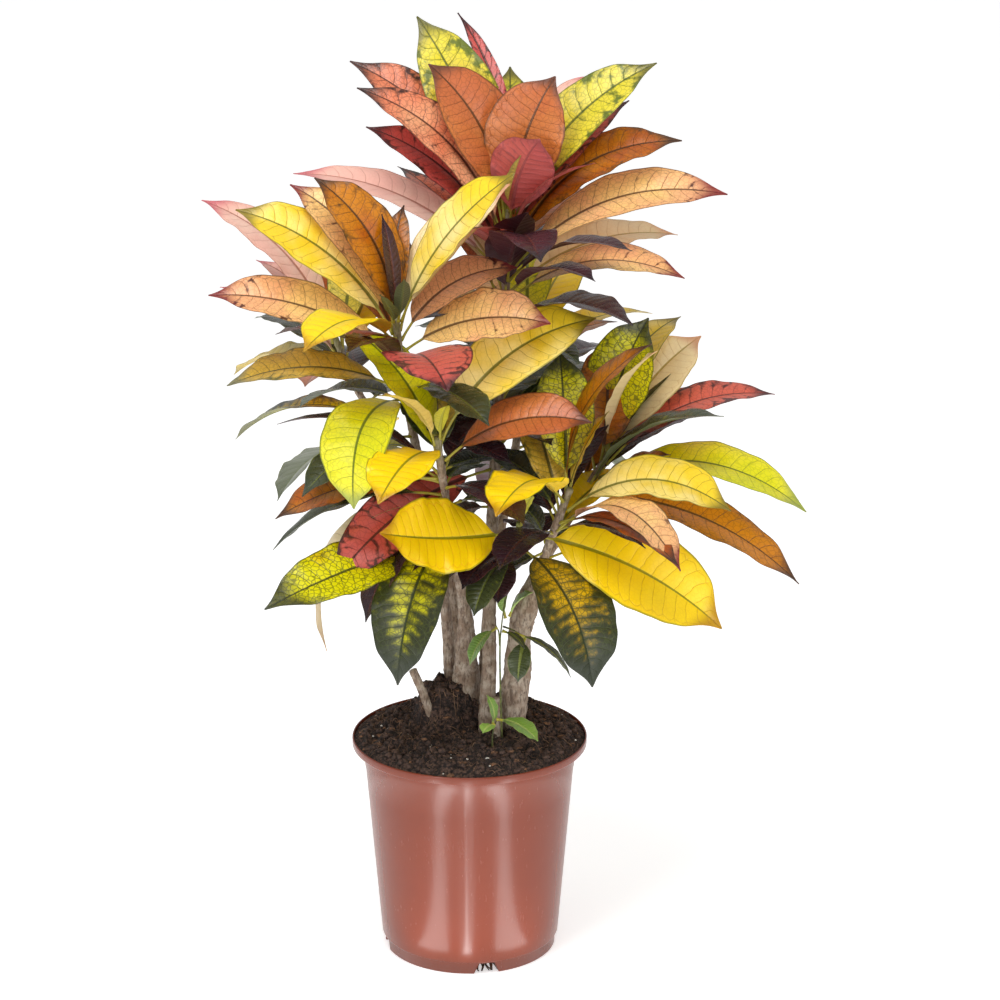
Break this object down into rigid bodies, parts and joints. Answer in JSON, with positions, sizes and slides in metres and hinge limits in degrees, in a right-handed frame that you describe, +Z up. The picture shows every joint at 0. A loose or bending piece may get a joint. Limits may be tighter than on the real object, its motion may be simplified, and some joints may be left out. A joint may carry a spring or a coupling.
{
  "type": "potted croton",
  "caption": "Bushy croton house plant with broad multicoloured leaves on woody stems, in a round tapered nursery pot of potting mix",
  "frame": {"origin": "centre of the whole plant's box in plan, at the level of the pot's foot", "axes": "+Z up the stems; the fullest side of the crown, with the hanging leaves, faces -Y"},
  "size_m": [0.608, 0.485, 0.9497],
  "materials": {
    "pot_plastic": "semi-gloss moulded plastic",
    "potting_mix": "rough, matt",
    "bark": "rough bark",
    "young_stem": "smooth green bark",
    "leaf_yellow": "waxy leaf with a soft gloss",
    "leaf_gold": "waxy leaf with a soft gloss",
    "leaf_lemon": "waxy leaf with a soft gloss",
    "leaf_lime": "waxy leaf with a soft gloss",
    "leaf_speckled": "waxy leaf with a soft gloss",
    "leaf_olive": "waxy leaf with a soft gloss",
    "leaf_cream": "waxy leaf with a soft gloss",
    "leaf_peach": "waxy leaf with a soft gloss",
    "leaf_salmon": "waxy leaf with a soft gloss",
    "leaf_orange": "waxy leaf with a soft gloss",
    "leaf_rust": "waxy leaf with a soft gloss",
    "leaf_rose": "waxy leaf with a soft gloss",
    "leaf_pink": "waxy leaf with a soft gloss",
    "leaf_maroon": "waxy leaf with a soft gloss",
    "leaf_green": "waxy leaf with a soft gloss"
  },
  "bodies": {
    "root": {"pot": "pot_plastic", "potting_mix": "potting_mix", "middle_stem": "bark", "left_stem": "bark", "front_left_stem": "bark", "right_stem": "bark", "upper_right_stem": "bark", "back_left_stem": "bark", "back_right_stem": "bark", "young_stem": "young_stem", "cut_stub": "bark", "leaning_stub": "bark", "top_leaf_01": "leaf_orange", "top_leaf_02": "leaf_orange", "top_leaf_03": "leaf_rose", "top_leaf_04": "leaf_lime", "top_leaf_05": "leaf_lime", "top_leaf_06": "leaf_salmon", "top_leaf_07": "leaf_pink", "top_leaf_08": "leaf_salmon", "top_leaf_09": "leaf_rust", "top_leaf_10": "leaf_rose", "top_leaf_11": "leaf_peach", "top_leaf_12": "leaf_pink", "top_leaf_13": "leaf_maroon", "top_leaf_14": "leaf_cream", "top_leaf_15": "leaf_peach", "top_leaf_16": "leaf_green", "top_leaf_17": "leaf_maroon", "left_leaf_01": "leaf_yellow", "left_leaf_02": "leaf_rust", "left_leaf_03": "leaf_yellow", "left_leaf_04": "leaf_gold", "left_leaf_05": "leaf_peach", "left_leaf_06": "leaf_peach", "left_leaf_07": "leaf_rose", "left_leaf_08": "leaf_olive", "left_leaf_09": "leaf_lemon", "front_leaf_01": "leaf_yellow", "front_leaf_02": "leaf_gold", "front_leaf_03": "leaf_orange", "front_leaf_04": "leaf_rust", "front_leaf_05": "leaf_cream", "front_leaf_06": "leaf_speckled", "right_leaf_01": "leaf_speckled", "right_leaf_02": "leaf_gold", "right_leaf_03": "leaf_yellow", "right_leaf_04": "leaf_peach", "upper_leaf_01": "leaf_speckled", "upper_leaf_02": "leaf_cream", "upper_leaf_03": "leaf_lemon", "upper_leaf_04": "leaf_rose", "upper_leaf_05": "leaf_rust", "low_leaf_01": "leaf_gold", "low_leaf_02": "leaf_gold", "low_leaf_03": "leaf_speckled", "rear_leaf_01": "leaf_pink", "rear_leaf_02": "leaf_yellow", "rear_leaf_03": "leaf_gold", "rear_leaf_04": "leaf_green"}
  },
  "joints": []
}
